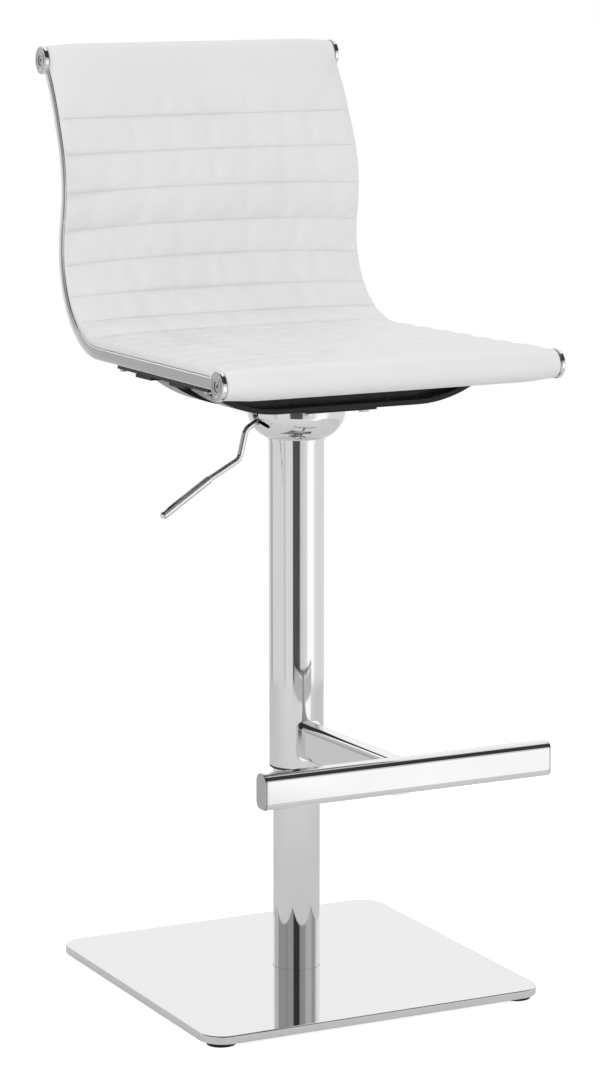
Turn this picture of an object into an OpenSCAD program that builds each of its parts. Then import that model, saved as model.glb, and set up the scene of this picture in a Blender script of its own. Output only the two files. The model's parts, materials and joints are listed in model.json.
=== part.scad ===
// Adjustable swivel stool: square base, gas-lift column, T-shaped footrest and a ribbed sling seat.
// Millimetres. The origin is on the floor on the column's axis; +Z is up and the sitter faces -Y.
// The stool is drawn fully raised.

/* [Base] */
// Width of the square base
base_w = 468; // [440:1:480]
// Corner radius of the base
base_corner_r = 32; // [20:1:45]
// Height of the base's top face above the floor
base_top_z = 16.5; // [15:0.5:18]
// Height of the rubber feet
foot_h = 5.5; // [4:0.5:6]
// Radius of a rubber foot
foot_r = 18; // [14:1:20]

/* [Column] */
// Outer radius of the fixed lower tube
lower_r = 30.15; // [29.5:0.05:30.5]
// Outer radius of the sliding upper tube
upper_r = 35; // [34.5:0.5:36]
// Height of the lower tube's top end
lower_top_z = 468; // [440:1:480]
// Height of the upper tube's lower end, bushing included
upper_bottom_z = 280; // [270:1:290]
// Height at which the bell meets the upper tube
bell_bottom_z = 702; // [700:1:704]

/* [Footrest] */
// Length of the footrest bar
bar_len = 390; // [370:1:410]
// Height of the footrest bar's section
bar_h = 43.5; // [40:0.5:46]
// Depth of the footrest bar's section
bar_d = 27; // [25:0.5:30]
// Distance from the column's axis to the bar's front face
bar_reach = 307; // [295:1:320]
// Height of the bar's middle
bar_z = 332.5; // [325:0.5:340]

/* [Seat] */
// Half the width over the end caps at the front roll
front_half_w = 230.8; // [226:0.2:235]
// Height of the front roll's middle
front_roll_z = 813.2; // [805:0.2:820]
// Distance from the column's axis to the front roll's middle
front_roll_y = 251.5; // [245:0.5:258]
// Slope of the seat, down towards the back, in degrees
seat_slope = 1; // [0.5:0.5:1.5]
// Radius of an end cap
cap_r = 18.2; // [17.8:0.1:18.6]
// Radius of the upholstered front and top rolls
roll_r = 17; // [16:0.5:17.5]
// Depth of a side rail's section
rail_h = 15; // [14:0.5:16]
// Width of a side rail's section
rail_w = 9; // [8:0.5:10]

/* [Lever] */
// Height of the lever's pivot
lever_z = 738; // [737.5:0.1:738.2]
// Distance from the column's axis to the lever's pivot
lever_pivot_r = 25; // [24:0.5:26]
// Angle of the lever forward of the sitter's right
lever_turn = 8; // [4:1:10]

/* [Hidden] */
$fn = 64;
eps = 0.01;

// Base
cover_t = 1.5;              // thickness of the sheet cover
skirt_gap = 0.7;            // height of the cover's hem above the plate's underside
cover_fit = 0.2;            // space between the cover and the plate
plate_top_z = base_top_z - cover_t - cover_fit;
foot_inset = 27;            // foot centre to the base's edge
flange_r = 62;
flange_t = 6;
flange_bolt_r = 48;

// Column
lower_wall = 3;
upper_wall = 3;
run_gap = 0.05;             // radial running clearance of sliding fits
rod_r = 5;
rod_top_z = 276;
clip_z = 7.4;               // underside of the rod's clip
gas_r = 14;                 // pressure tube
gas_wall = 2;
gas_bottom_z = 250;
gas_top_z = 724;
bush_h = 58;
upper_top_z = bell_bottom_z + 14;

// Bell and mount
bell_r = 62;
bell_arc_r = 38;
bell_arc_z = bell_bottom_z + 38;
bell_t = 1.2;
hub_bottom_z = 688;
hub_flange_r = 44;
bracket_half_w = 28;
bracket_wall = 4;
bracket_half_l = 38;
pin_r = 2;

// Seat frame: x across, v along the seat from the front roll, w up from the rails' middle line
toe_in = 1.41;              // each rail turns inward towards the back
lean_in = 0.92;             // and inward towards the top
cap_t = 5;
mid_half_w = front_half_w - cap_t;
plate_w_top = -54;          // the stretchers' undersides and the centre plate's top
centre_plate_t = 5;
side_bar_t = 4;
side_bar_v = [36, 313];
stretcher_v = [131, 229];
stretcher_d = 45;
strip_t = 6;
tube_r = 12.5;
tube_wall = 1.5;
screw_r = 3;

// The rails' middle line is a chain of [length, turn] stretches, turning up and back.
seat_len = 380;
rail_path = [
    [seat_len, 0],
    [arc_len(120, 90), 90],
    [arc_len(160, 14), 14],
    [arc_len(160, 36), -36],
    [28, 0],
    [arc_len(344, 15), -15],
];
steps_per_arc = 14;

function arc_len(r, a) = PI * r * a / 180;
function dir(a) = [cos(a), sin(a)];
function left_of(a) = [-sin(a), cos(a)];
function turned(p, a, len, turn) =
    turn == 0 ? p + len * dir(a)
              : let (r = len * 180 / (PI * turn)) p + r * (left_of(a) - left_of(a + turn));
// Each stretch's start: [point, heading]
function starts(k) =
    k == 0 ? [[0, 0], 0]
           : let (s = starts(k - 1), seg = rail_path[k - 1])
             [turned(s[0], s[1], seg[0], seg[1]), s[1] + seg[1]];
function stations() = [
    for (k = [0 : len(rail_path) - 1])
        let (s = starts(k), seg = rail_path[k], n = seg[1] == 0 ? 1 : steps_per_arc)
            for (i = [(k == 0 ? 0 : 1) : n])
                [turned(s[0], s[1], seg[0] * i / n, seg[1] * i / n), s[1] + seg[1] * i / n]
];
line = stations();
top_roll = line[len(line) - 1][0];
function side_line(off) = [for (s = line) s[0] + off * left_of(s[1])];
function backwards(list) = [for (i = [len(list) - 1 : -1 : 0]) list[i]];

// A band along the rails' middle line, between two distances from it
module band(low, high) {
    polygon(concat(side_line(low), backwards(side_line(high))));
}

// From the (v, w) drawing plane to the seat frame, width w_x across, centred on x = 0
module across(width) {
    rotate([90, 0, 90]) linear_extrude(width, center = true) children();
}

module in_seat() {
    translate([0, -front_roll_y, front_roll_z]) rotate([-seat_slope, 0, 0]) children();
}

// The right rail's own plane: x = 0 there is the rail's outer face
module on_right() {
    translate([mid_half_w, 0, 0]) rotate([0, -lean_in, toe_in]) children();
}

module on_both_sides() {
    on_right() children();
    mirror([1, 0, 0]) on_right() children();
}

// Everything outboard of a plane that lies off mm inside the rails' outer faces
module outboard(off) {
    on_both_sides() translate([-off, -100, -200]) cube([120, 800, 800]);
}

module ring(r_out, r_in, h) {
    difference() {
        cylinder(h = h, r = r_out);
        translate([0, 0, -1]) cylinder(h = h + 2, r = r_in);
    }
}

module rounded_square(w, r) {
    k = w / 2 - r;
    union() {
        square([w, 2 * k], center = true);
        square([2 * k, w], center = true);
        for (x = [-k, k], y = [-k, k]) translate([x, y]) circle(r);
    }
}

module at_corners(d) {
    for (x = [-d, d], y = [-d, d]) translate([x, y, 0]) children();
}

// ---- Base ----

module base_cover() {
    color("gainsboro") difference() {
        translate([0, 0, foot_h + skirt_gap])
            linear_extrude(base_top_z - foot_h - skirt_gap) rounded_square(base_w, base_corner_r);
        translate([0, 0, foot_h])
            linear_extrude(plate_top_z + cover_fit - foot_h)
                rounded_square(base_w - 2 * cover_t, base_corner_r - cover_t);
        cylinder(h = 40, r = lower_r + 0.3);
    }
}

module base_plate() {
    inner = base_w - 2 * (cover_t + cover_fit);
    color("dimgray") difference() {
        translate([0, 0, foot_h]) linear_extrude(plate_top_z - foot_h)
            rounded_square(inner, base_corner_r - cover_t - cover_fit);
        cylinder(h = 40, r = lower_r - lower_wall);
        translate([0, 0, plate_top_z - flange_t]) cylinder(h = 20, r = flange_r + cover_fit);
        for (a = [45 : 90 : 315]) rotate(a) translate([flange_bolt_r, 0, 0]) {
            cylinder(h = 40, r = 4.3);
        }
        at_corners(base_w / 2 - foot_inset) cylinder(h = 40, r = 2.6);
    }
}

module foot_pads() {
    color("black") at_corners(base_w / 2 - foot_inset) difference() {
        cylinder(h = foot_h, r = foot_r);
        translate([0, 0, -1]) cylinder(h = 3, r = 5.2);
        cylinder(h = foot_h + 1, r = 2.6);
    }
}

module foot_screws() {
    color("silver") at_corners(base_w / 2 - foot_inset) {
        translate([0, 0, 1.2]) difference() {
            cylinder(h = 0.8, r = 4.8);
            for (a = [0, 90]) rotate(a) translate([-2.5, -0.4, -1]) cube([5, 0.8, 1.5]);
        }
        translate([0, 0, 1.8]) cylinder(h = 10, r = 2.4);
    }
}

module column_flange() {
    color("gray") difference() {
        translate([0, 0, plate_top_z - flange_t]) cylinder(h = flange_t - cover_fit, r = flange_r);
        cylinder(h = 40, r = lower_r);
        for (a = [45 : 90 : 315]) rotate(a) translate([flange_bolt_r, 0, 0]) cylinder(h = 40, r = 4.3);
    }
}

module column_bolts() {
    color("silver") for (a = [45 : 90 : 315]) rotate(a) translate([flange_bolt_r, 0, 0]) {
        translate([0, 0, foot_h - 3.2]) cylinder(h = 3.2, r = 7, $fn = 6);
        translate([0, 0, foot_h - 1]) cylinder(h = plate_top_z - foot_h, r = 4);
    }
}

module lower_column() {
    floor_t = 5;
    color("gainsboro") translate([0, 0, plate_top_z - flange_t]) difference() {
        cylinder(h = lower_top_z - plate_top_z + flange_t, r = lower_r);
        translate([0, 0, floor_t]) cylinder(h = lower_top_z, r = lower_r - lower_wall);
        translate([0, 0, -1]) cylinder(h = 10, r = rod_r + run_gap);
    }
}

module guide_bush() {
    color("black") translate([0, 0, lower_top_z - bush_h]) {
        ring(lower_r - lower_wall - run_gap, gas_r + run_gap, bush_h);
        translate([0, 0, bush_h]) ring(lower_r - 0.6, gas_r + run_gap, 2);
    }
}

// ---- Spindle ----

column_floor_z = plate_top_z - flange_t + 5;

module thrust_bearing() {
    color("silver") translate([0, 0, column_floor_z + 0.1]) {
        for (z = [0, 4.9]) translate([0, 0, z]) ring(12.5, rod_r + 0.3, 1.6);
        translate([0, 0, 1.5]) difference() {
            cylinder(h = 3.5, r = 11.4);
            translate([0, 0, -1]) cylinder(h = 6, r = 6.4);
        }
    }
}

module bearing_washer() {
    color("silver") translate([0, 0, column_floor_z + 6.7]) ring(11, rod_r, 2);
}

module rod_clip() {
    color("gray") translate([0, 0, clip_z]) difference() {
        ring(9, rod_r - 0.6, 1.2);
        translate([0, -2.2, -1]) cube([12, 4.4, 4]);
    }
}

module piston_rod() {
    color("silver") difference() {
        translate([0, 0, foot_h + 1]) cylinder(h = rod_top_z - foot_h - 1, r = rod_r);
        translate([0, 0, clip_z - 0.1]) ring(rod_r + 2, rod_r - 0.6, 1.4);
    }
}

module piston() {
    color("gray") translate([0, 0, rod_top_z]) difference() {
        cylinder(h = 12, r = gas_r - gas_wall - run_gap);
        for (z = [3, 7.4]) translate([0, 0, z]) ring(gas_r, gas_r - gas_wall - 1.4, 1.6);
    }
}

// ---- Column carriage ----

module pressure_tube() {
    color("dimgray") difference() {
        translate([0, 0, gas_bottom_z]) cylinder(h = gas_top_z - gas_bottom_z, r = gas_r);
        translate([0, 0, gas_bottom_z - 1]) cylinder(h = gas_top_z - gas_bottom_z - 13, r = gas_r - gas_wall);
        cylinder(h = 800, r = 4 + run_gap);
    }
}

module tube_gland() {
    color("black") translate([0, 0, gas_bottom_z + 0.5]) ring(gas_r - gas_wall, rod_r + run_gap, 12);
}

module seat_mount() {
    color("dimgray") difference() {
        union() {
            translate([0, 0, hub_bottom_z])
                cylinder(h = upper_top_z - hub_bottom_z + 1, r = upper_r - upper_wall);
            translate([0, 0, upper_top_z]) cylinder(h = 4, r = hub_flange_r);
            rotate(lever_turn) translate([-bracket_half_l, -bracket_half_w, upper_top_z + 3])
                difference() {
                    cube([2 * bracket_half_l, 2 * bracket_half_w, 60]);
                    translate([-1, bracket_wall, 1])
                        cube([2 * bracket_half_l + 2, 2 * (bracket_half_w - bracket_wall), 60]);
                }
        }
        translate([0, 0, hub_bottom_z - 1]) cylinder(h = 60, r = gas_r);
        lever_frame() rotate([90, 0, 0]) translate([0, 0, -50]) cylinder(h = 100, r = pin_r);
        in_seat() translate([-100, 0, plate_w_top - centre_plate_t]) cube([200, 500, 200]);
    }
}

module bell_profile(inset) {
    intersection() {
        union() {
            translate([bell_r - bell_arc_r, bell_arc_z]) circle(bell_arc_r - inset);
            translate([0, bell_arc_z]) square([bell_r - inset, 20]);
            translate([0, bell_bottom_z - 1]) square([bell_r - bell_arc_r, 50]);
        }
        translate([0, bell_bottom_z - 1]) square([bell_r, 44.6]);
    }
}

// Lever opening in the bell: upright where the rod swings, with a tail that slants down to the front
module bell_opening() {
    reach = 40;
    swing = 8.5;
    tail_r = 3;
    tail_l = 19;
    rotate(180 + lever_turn) translate([reach, 0, lever_z]) rotate([0, 90, 0]) {
        for (x = [0, swing]) translate([x, 0, 0]) cylinder(h = reach, r = 5.6);
        translate([0, -5.6, 0]) cube([swing, 11.2, reach]);
        translate([6, 0, 0]) rotate(-24) {
            translate([-tail_r, 0, 0]) cube([2 * tail_r, tail_l, reach]);
            translate([0, tail_l, 0]) cylinder(h = reach, r = tail_r);
        }
    }
}

module bell_cover() {
    color("gainsboro") difference() {
        union() {
            rotate_extrude() bell_profile(0);
            translate([0, 0, bell_bottom_z - 1]) cylinder(h = 3, r = upper_r + 1.2);
        }
        rotate_extrude() translate([0, eps]) bell_profile(bell_t);
        translate([0, 0, bell_bottom_z - 5]) cylinder(h = 12, r = upper_r + 0.05);
        bell_opening();
    }
}

module upper_column() {
    color("gainsboro") translate([0, 0, upper_bottom_z + 3])
        ring(upper_r, upper_r - upper_wall, upper_top_z - upper_bottom_z - 3);
}

module column_bushing() {
    color("black") translate([0, 0, upper_bottom_z]) {
        ring(upper_r - 0.3, lower_r + run_gap, 3);
        ring(upper_r - upper_wall, lower_r + run_gap, 40);
    }
}

// ---- Footrest ----

module bar_section(w, h, r) {
    union() {
        square([w, h - 2 * r], center = true);
        square([w - 2 * r, h], center = true);
        for (x = [-1, 1], y = [-1, 1]) translate([x * (w / 2 - r), y * (h / 2 - r)]) circle(r);
    }
}

arm_h = 46;
arm_rise = 1.6;      // slope of the arm in degrees, up towards the bar
arm_z = 318;         // height of the arm's middle on the column's axis
arm_wall = 2.5;

module footrest_arm() {
    color("gainsboro") difference() {
        translate([0, 0, arm_z]) rotate([-arm_rise, 0, 0]) rotate([90, 0, 0]) difference() {
            union() {
                linear_extrude(bar_reach) bar_section(bar_d, arm_h, 8);
                translate([0, 0, upper_r - 6]) linear_extrude(8) bar_section(bar_d + 5, arm_h + 5, 9);
            }
            translate([0, 0, upper_r + 6]) linear_extrude(bar_reach)
                bar_section(bar_d - 2 * arm_wall, arm_h - 2 * arm_wall, 6);
        }
        translate([0, 0, 200]) cylinder(h = 200, r = upper_r);
        translate([-100, -bar_reach - 50, 200]) cube([200, 50 + bar_d - 0.01, 300]);
    }
}

module footrest_bar() {
    color("gainsboro") translate([0, -bar_reach + bar_d / 2, bar_z]) rotate([90, 0, 90])
        linear_extrude(bar_len - 6, center = true) difference() {
            bar_section(bar_d, bar_h, 9);
            bar_section(bar_d - 4, bar_h - 4, 7);
        }
}

module footrest_end_caps() {
    color("gainsboro") translate([0, -bar_reach + bar_d / 2, bar_z]) for (s = [0, 1]) mirror([s, 0, 0])
        rotate([90, 0, 90]) {
            translate([0, 0, bar_len / 2 - 3]) linear_extrude(2) bar_section(bar_d, bar_h, 9);
            translate([0, 0, bar_len / 2 - 1.5]) linear_extrude(1.5)
                bar_section(bar_d - 1.6, bar_h - 1.6, 8.2);
            translate([0, 0, bar_len / 2 - 12]) linear_extrude(9.5)
                bar_section(bar_d - 4.2, bar_h - 4.2, 6.9);
        }
}

// ---- Seat frame ----

plate_v = [128, 292];
plate_half_x = 48;
nut_t = 4;                  // thin nuts, clear of the lifted lever

module at_plate_bolts() {
    for (x = [-38, 38], v = stretcher_v) translate([x, v + 12.5, 0]) children();
}

module centre_plate() {
    color("black") in_seat() difference() {
        translate([-plate_half_x, plate_v[0], plate_w_top - centre_plate_t])
            cube([2 * plate_half_x, plate_v[1] - plate_v[0], centre_plate_t]);
        at_plate_bolts() translate([0, 0, -100]) cylinder(h = 100, r = 4.2);
    }
}

module plate_bolts() {
    color("silver") in_seat() at_plate_bolts() {
        translate([0, 0, plate_w_top + strip_t]) cylinder(h = 4.5, r = 7.5, $fn = 6);
        translate([0, 0, plate_w_top - centre_plate_t - 1]) cylinder(h = 15, r = 4);
        translate([0, 0, plate_w_top - centre_plate_t - nut_t]) cylinder(h = nut_t, r = 7.2, $fn = 6);
    }
}

// Outline of a stretcher seen from the front: flat in the middle, rising in an arc to each end pad
rise_r = 165;
rise_x = 95;
pad_x = [200, 221];
bar_under = -rail_h / 2 - side_bar_t;

module stretcher_strip() {
    low = plate_w_top;
    lift = low + rise_r;
    union() {
        translate([0, low]) square([rise_x, strip_t]);
        intersection() {
            translate([rise_x, lift]) difference() {
                circle(rise_r, $fn = 160);
                circle(rise_r - strip_t, $fn = 160);
            }
            translate([rise_x - eps, low - 1]) square([pad_x[1] - rise_x - 6, bar_under - low + 1]);
        }
        translate([pad_x[0], bar_under - 4]) square([pad_x[1] - pad_x[0], 4]);
    }
}

module stretcher_web() {
    low = plate_w_top;
    difference() {
        translate([0, low + 1]) square([pad_x[0] + 4, bar_under - 4 - low]);
        translate([rise_x, low - 1]) difference() {
            square([200, rise_r + 1]);
            translate([0, rise_r + 1]) circle(rise_r - 1, $fn = 160);
        }
    }
}

module stretcher(v) {
    color("black") in_seat() difference() {
        for (s = [0, 1]) mirror([s, 0, 0]) translate([0, v, 0]) rotate([90, 0, 0]) {
            linear_extrude(stretcher_d, center = true) stretcher_strip();
            linear_extrude(5, center = true) stretcher_web();
        }
        at_plate_bolts() translate([0, 0, plate_w_top - 1]) cylinder(h = strip_t + 2, r = 4.2);
        on_both_sides() translate([-40, 0, bar_under - 0.03]) cube([60, 400, 20]);
    }
}

module front_stretcher() stretcher(stretcher_v[0]);
module rear_stretcher() stretcher(stretcher_v[1]);

// Side bars: flat black bars under the rails
bar_screw_inset = 10;       // from a side bar's end to its screw

module at_bar_screws() {
    for (v = [side_bar_v[0] + bar_screw_inset, side_bar_v[1] - bar_screw_inset])
        translate([-rail_w / 2, v, 0]) children();
}

module side_bar() {
    on_right() difference() {
        translate([-22, side_bar_v[0], bar_under])
            cube([21.5, side_bar_v[1] - side_bar_v[0], side_bar_t - 0.05]);
        at_bar_screws() translate([0, 0, -40]) cylinder(h = 60, r = 2.2);
    }
}

module right_side_bar() color("black") in_seat() side_bar();
module left_side_bar() color("black") in_seat() mirror([1, 0, 0]) side_bar();

module side_bar_screws() {
    color("silver") in_seat() on_both_sides() at_bar_screws() {
        translate([0, 0, bar_under - 2.6]) cylinder(h = 2.6, r = 4.2);
        translate([0, 0, bar_under - 0.5]) cylinder(h = 10, r = 2);
    }
}

// Side rails
groove_h = 1.6;
groove_t = 0.8;

module rail() {
    on_right() difference() {
        translate([-rail_w / 2, 0, 0]) union() {
            across(rail_w) band(-rail_h / 2, rail_h / 2);
            for (p = [[0, 0], top_roll]) across(rail_w) translate(p) circle(roll_r - 1.5);
        }
        for (off = [1.4, 4.6]) translate([-groove_t, 0, 0]) translate([1, 0, 0])
            across(2) band(off, off + groove_h);
        for (p = [[0, 0], top_roll]) translate([-rail_w / 2, p[0], p[1]]) rotate([0, 90, 0])
            cylinder(h = rail_w + 2, r = screw_r + 0.4, center = true);
        at_bar_screws() translate([0, 0, -rail_h]) cylinder(h = rail_h + 3, r = 2.2);
    }
}

module right_rail() color("silver") in_seat() rail();
module left_rail() color("silver") in_seat() mirror([1, 0, 0]) rail();

// Cross tubes inside the front and top rolls, with a threaded plug in each end
module cross_tube(p) {
    color("silver") in_seat() difference() {
        translate([0, p[0], p[1]]) rotate([0, 90, 0]) difference() {
            cylinder(h = 2 * front_half_w, r = tube_r, center = true);
            cylinder(h = 2 * (front_half_w - 60), r = tube_r - tube_wall, center = true);
        }
        on_both_sides() translate([0, p[0], p[1]]) rotate([0, 90, 0])
            cylinder(h = 140, r = screw_r + 0.3, center = true);
        outboard(rail_w);
    }
}

module front_cross_tube() cross_tube([0, 0]);
module top_cross_tube() cross_tube(top_roll);

module at_rolls() {
    for (p = [[0, 0], top_roll]) translate([0, p[0], p[1]]) rotate([0, 90, 0]) children();
}

module roll_end_caps() {
    color("silver") in_seat() on_both_sides() at_rolls() difference() {
        union() {
            cylinder(h = cap_t - 1, r = cap_r);
            translate([0, 0, cap_t - 1 - eps]) cylinder(h = 1, r1 = cap_r, r2 = cap_r - 1, $fn = 64);
        }
        translate([0, 0, cap_t - 1.2]) ring(13.6, 11.4, 4);
        translate([0, 0, cap_t - 2.6]) cylinder(h = 5, r = 7.6);
        translate([0, 0, -1]) cylinder(h = 10, r = screw_r + 0.4);
    }
}

module cap_screws() {
    color("gray") in_seat() on_both_sides() at_rolls() difference() {
        union() {
            translate([0, 0, cap_t - 2.6]) cylinder(h = 2, r = 6);
            translate([0, 0, -30]) cylinder(h = 33, r = screw_r);
        }
        translate([0, 0, cap_t - 1.8]) cylinder(h = 3, r = 2.6, $fn = 6);
    }
}

// Upholstery: one padded band that wraps the two cross tubes
pad_front = 13;
pad_back = 7;

module seat_sling() {
    color("white") in_seat() difference() {
        across(2 * front_half_w) difference() {
            union() {
                band(-pad_back, pad_front);
                for (p = [[0, 0], top_roll]) translate(p) circle(roll_r);
            }
            for (p = [[0, 0], top_roll]) translate(p) circle(tube_r);
        }
        outboard(rail_w + 0.2);
    }
}

// ---- Lever and valve ----

lever_rod_r = 4;
knuckle_r = lever_rod_r + 0.5;
lever_tip = 6;       // how far the inner end passes the column's axis
lever_pts = [[-lever_tip, 0], [43, 0], [77, -18], [86.5, -54.5], [131, -75.5], [197, -113.5]];
grip_r = 5.3;

// Frame of the lever: origin at the pivot, +X outward along the lever
module lever_frame() {
    rotate(180 + lever_turn) translate([lever_pivot_r, 0, lever_z]) children();
}

module rod_between(a, b, r) {
    d = b - a;
    translate([a[0], 0, a[1]]) rotate([0, atan2(d[0], d[1]), 0]) cylinder(h = norm(d), r = r);
}

module release_lever() {
    n = len(lever_pts);
    color("silver") difference() {
        union() {
            rotate(180 + lever_turn) translate([0, 0, lever_z]) {
                for (i = [0 : n - 2]) rod_between(lever_pts[i], lever_pts[i + 1], lever_rod_r);
                for (i = [1 : n - 2]) translate([lever_pts[i][0], 0, lever_pts[i][1]])
                    sphere(knuckle_r);
            }
            lever_frame() rotate([90, 0, 0]) cylinder(h = 14, r = 6.5, center = true);
        }
        lever_frame() rotate([90, 0, 0]) cylinder(h = 40, r = pin_r + run_gap, center = true);
    }
}

// Half outline of the grip sleeve: chamfered mouth, straight side, domed end
module grip_profile(len) {
    square([grip_r - 0.6, len]);
    translate([0, 0.6]) square([grip_r, len - 0.6]);
    intersection() {
        translate([0, len - eps]) circle(grip_r);
        translate([0, len - 1]) square([grip_r, grip_r + 1]);
    }
}

module lever_grip() {
    a = lever_pts[len(lever_pts) - 2];
    b = lever_pts[len(lever_pts) - 1];
    d = b - a;
    u = d / norm(d);
    color("silver") rotate(180 + lever_turn) translate([0, 0, lever_z]) difference() {
        translate([a[0] + u[0], 0, a[1] + u[1]]) rotate([0, atan2(d[0], d[1]), 0])
            rotate_extrude() grip_profile(norm(d));
        rod_between(a, b, lever_rod_r);
        translate([a[0], 0, a[1]]) sphere(knuckle_r + run_gap);
    }
}

module lever_pin() {
    color("silver") lever_frame() rotate([90, 0, 0]) {
        cylinder(h = 2 * bracket_half_w + 2, r = pin_r, center = true);
        translate([0, 0, bracket_half_w]) cylinder(h = 1.6, r = 3.6);
    }
}

module valve_button() {
    color("black") union() {
        translate([0, 0, gas_top_z - 8]) cylinder(h = lever_z - lever_rod_r - 0.1 - gas_top_z + 8, r = 4);
    }
}

base_cover();
base_plate();
foot_pads();
foot_screws();
column_flange();
column_bolts();
lower_column();
guide_bush();
thrust_bearing();
bearing_washer();
rod_clip();
piston_rod();
piston();
pressure_tube();
tube_gland();
seat_mount();
bell_cover();
upper_column();
column_bushing();
footrest_arm();
footrest_bar();
footrest_end_caps();
centre_plate();
plate_bolts();
front_stretcher();
rear_stretcher();
left_side_bar();
right_side_bar();
side_bar_screws();
left_rail();
right_rail();
front_cross_tube();
top_cross_tube();
roll_end_caps();
cap_screws();
seat_sling();
lever_pin();
release_lever();
lever_grip();
valve_button();
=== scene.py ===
"""Adjustable swivel stool: the finished surfaces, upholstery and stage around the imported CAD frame.

Lengths are in metres. The origin is on the floor on the column's axis, +Z is up and the sitter faces -Y.
"""

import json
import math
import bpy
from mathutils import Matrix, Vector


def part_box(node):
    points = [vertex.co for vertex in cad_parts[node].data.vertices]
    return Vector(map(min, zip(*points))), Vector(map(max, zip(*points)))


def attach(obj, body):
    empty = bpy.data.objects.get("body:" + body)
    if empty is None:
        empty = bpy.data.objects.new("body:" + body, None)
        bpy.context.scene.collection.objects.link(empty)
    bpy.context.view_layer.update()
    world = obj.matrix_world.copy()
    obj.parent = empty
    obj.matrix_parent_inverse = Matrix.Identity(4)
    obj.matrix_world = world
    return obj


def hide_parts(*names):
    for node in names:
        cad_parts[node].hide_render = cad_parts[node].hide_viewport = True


bl_info = {
    "name": "Adjustable Swivel Stool",
    "version": (1, 0, 0),
    "blender": (4, 5, 0),
    "location": "View3D > Sidebar > Stool",
    "description": "Builds the upholstery, rails, lever, base cover, finishes and studio of a swivel stool",
    "category": "Object",
}

import bmesh
import bpy
import numpy as np
from mathutils import Matrix, Vector, noise
from mathutils.bvhtree import BVHTree

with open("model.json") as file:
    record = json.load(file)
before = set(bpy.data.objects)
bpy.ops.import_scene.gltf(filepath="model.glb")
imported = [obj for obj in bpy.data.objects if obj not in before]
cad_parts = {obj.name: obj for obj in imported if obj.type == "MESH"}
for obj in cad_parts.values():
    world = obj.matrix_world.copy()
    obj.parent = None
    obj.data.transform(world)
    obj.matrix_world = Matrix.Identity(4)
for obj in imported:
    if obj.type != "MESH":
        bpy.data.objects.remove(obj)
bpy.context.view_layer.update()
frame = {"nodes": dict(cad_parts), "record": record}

MM = 0.001

# ---- Shape shared by the rails and the upholstery ----

# The rails' middle line is a chain of (radius, turn) arcs and straight lengths, in millimetres and degrees.
SEAT_LENGTH = 380
LUMBAR_LENGTH = 28
RAIL_CHAIN = (
    (SEAT_LENGTH, 0),
    (120, 90),
    (160, 14),
    (160, -36),
    (LUMBAR_LENGTH, 0),
    (344, -15),
)
RAIL_WIDTH = 9
RAIL_DEPTH = 15
RAIL_LEAN = 0.92
RAIL_TOE_IN = 1.41
CAP_THICKNESS = 5
ROLL_CAP_RADIUS = 18.2
SEAT_SLOPE = 1

# The front roll's middle and the width over the end caps are read from the frame.
CAPS_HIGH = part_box("roll_end_caps")[1]
TUBE_LOW, TUBE_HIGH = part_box("front_cross_tube")
ROLL_Y = (TUBE_LOW.y + TUBE_HIGH.y) / 2
ROLL_Z = (TUBE_LOW.z + TUBE_HIGH.z) / 2
LEAN_SHIFT = ROLL_CAP_RADIUS * MM * math.sin(math.radians(RAIL_LEAN))
RAIL_FACE_X = CAPS_HIGH.x - CAP_THICKNESS * MM - LEAN_SHIFT

SEAT_FRAME = Matrix.Translation((0, ROLL_Y, ROLL_Z)) @ Matrix.Rotation(math.radians(-SEAT_SLOPE), 4, "X")
RIGHT_RAIL_FRAME = (
    SEAT_FRAME
    @ Matrix.Translation((RAIL_FACE_X, 0, 0))
    @ Matrix.Rotation(math.radians(RAIL_TOE_IN), 4, "Z")
    @ Matrix.Rotation(math.radians(-RAIL_LEAN), 4, "Y")
)
MIRROR_X = Matrix.Scale(-1, 4, (1, 0, 0))


def stretch_length(size, turn):
    """Length in millimetres of one stretch of the chain."""
    return size if turn == 0 else abs(math.radians(turn)) * size


PATH_LENGTH = sum(stretch_length(*stretch) for stretch in RAIL_CHAIN)


def path_at(s):
    """Points (v, w), in mm, and headings of the rails' middle line at distances s from the front roll."""
    s = np.asarray(s, float)
    v, w, heading = np.zeros_like(s), np.zeros_like(s), np.zeros_like(s)
    v0, w0, h0, s0 = 0.0, 0.0, 0.0, 0.0
    for index, (size, turn) in enumerate(RAIL_CHAIN):
        length = stretch_length(size, turn)
        last = index == len(RAIL_CHAIN) - 1
        inside = (s >= s0 if index else s >= -1e9) & (s <= s0 + length if not last else s <= 1e9)
        along = s - s0
        if turn == 0:
            dv, dw, dh = along * math.cos(h0), along * math.sin(h0), 0 * along
            end = (length * math.cos(h0), length * math.sin(h0), 0)
        else:
            sign = math.copysign(1, turn)
            dh = sign * along / size
            dv = sign * size * (np.sin(h0 + dh) - math.sin(h0))
            dw = -sign * size * (np.cos(h0 + dh) - math.cos(h0))
            full = math.radians(turn)
            end = (
                sign * size * (math.sin(h0 + full) - math.sin(h0)),
                -sign * size * (math.cos(h0 + full) - math.cos(h0)),
                full,
            )
        v = np.where(inside, v0 + dv, v)
        w = np.where(inside, w0 + dw, w)
        heading = np.where(inside, h0 + dh, heading)
        v0, w0, h0, s0 = v0 + end[0], w0 + end[1], h0 + end[2], s0 + length
    return v, w, heading


# ---- Settings ----


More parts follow.
